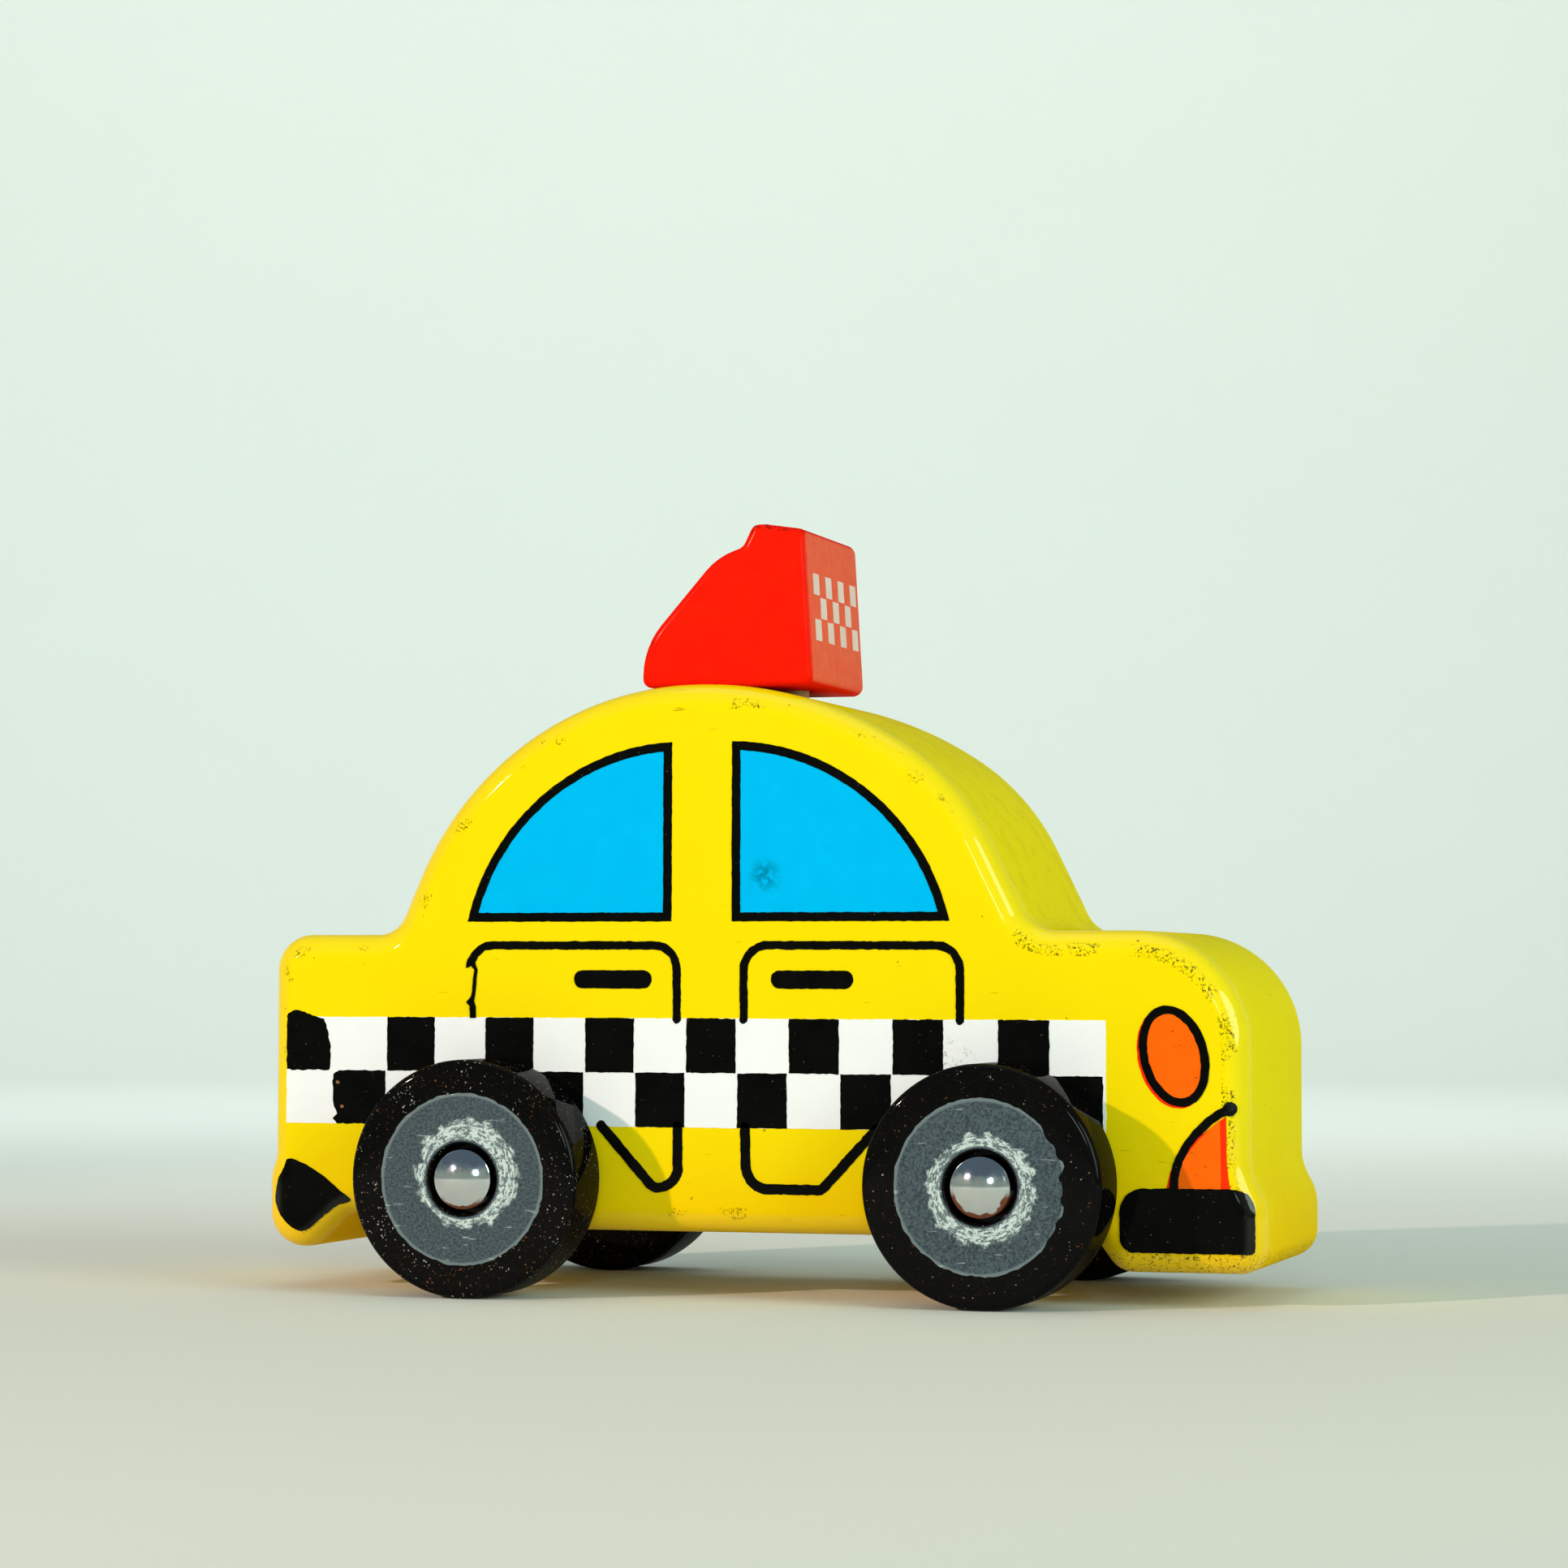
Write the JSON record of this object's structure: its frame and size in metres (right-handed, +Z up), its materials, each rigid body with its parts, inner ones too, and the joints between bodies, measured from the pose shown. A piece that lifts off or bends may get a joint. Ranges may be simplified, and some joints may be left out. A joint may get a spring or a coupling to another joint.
{
  "type": "wooden toy taxi",
  "caption": "Painted wooden push-along toy taxi with a raised roof sign, checkered side bands and wooden wheels turning on steel axles.",
  "frame": {"origin": "on the ground under the middle of the car, where the wheels stand", "axes": "+X towards the front bumper, +Y towards the car's left side, +Z up"},
  "size_m": [0.0974, 0.0512, 0.0732],
  "materials": {
    "yellow_paint": "gloss lacquer over wood",
    "red_paint": "satin lacquer over wood",
    "wheel_black": "gloss black lacquer over turned wood",
    "hub_grey": "matt grey paint over turned wood, worn at the hub",
    "ink_black": "printed black ink over lacquer",
    "ink_white": "printed white ink over lacquer",
    "ink_blue": "printed blue ink over lacquer",
    "ink_orange": "printed orange ink over lacquer",
    "bare_wood": "unfinished birch",
    "axle_steel": "drawn steel rod",
    "cap_chrome": "bright nickel plate, rusty at the rim"
  },
  "bodies": {
    "chassis": {"body": "yellow_paint", "roof_sign": "red_paint", "front_sign_dowel": "bare_wood", "rear_sign_dowel": "bare_wood"},
    "front_axle_set": {"front_axle": "axle_steel", "front_left_axle_cap": "cap_chrome", "front_right_axle_cap": "cap_chrome"},
    "rear_axle_set": {"rear_axle": "axle_steel", "rear_left_axle_cap": "cap_chrome", "rear_right_axle_cap": "cap_chrome"},
    "front_left_wheel": {"front_left_wheel": "wheel_black"},
    "front_right_wheel": {"front_right_wheel": "wheel_black"},
    "rear_left_wheel": {"rear_left_wheel": "wheel_black"},
    "rear_right_wheel": {"rear_right_wheel": "wheel_black"}
  },
  "joints": [
    {"name": "front_axle_spin", "type": "hinge", "parent": "chassis", "child": "front_axle_set", "pos_m": [0.0244, 0, 0.0111], "axis": [0, 1, 0], "continuous": true},
    {"name": "rear_axle_spin", "type": "hinge", "parent": "chassis", "child": "rear_axle_set", "pos_m": [-0.02505, 0, 0.0111], "axis": [0, 1, 0], "continuous": true},
    {"name": "front_left_wheel_spin", "type": "hinge", "parent": "front_axle_set", "child": "front_left_wheel", "pos_m": [0.0244, 0.021, 0.0111], "axis": [0, 1, 0], "continuous": true},
    {"name": "front_right_wheel_spin", "type": "hinge", "parent": "front_axle_set", "child": "front_right_wheel", "pos_m": [0.0244, -0.021, 0.0111], "axis": [0, 1, 0], "continuous": true},
    {"name": "rear_left_wheel_spin", "type": "hinge", "parent": "rear_axle_set", "child": "rear_left_wheel", "pos_m": [-0.02505, 0.021, 0.0111], "axis": [0, 1, 0], "continuous": true},
    {"name": "rear_right_wheel_spin", "type": "hinge", "parent": "rear_axle_set", "child": "rear_right_wheel", "pos_m": [-0.02505, -0.021, 0.0111], "axis": [0, 1, 0], "continuous": true}
  ]
}
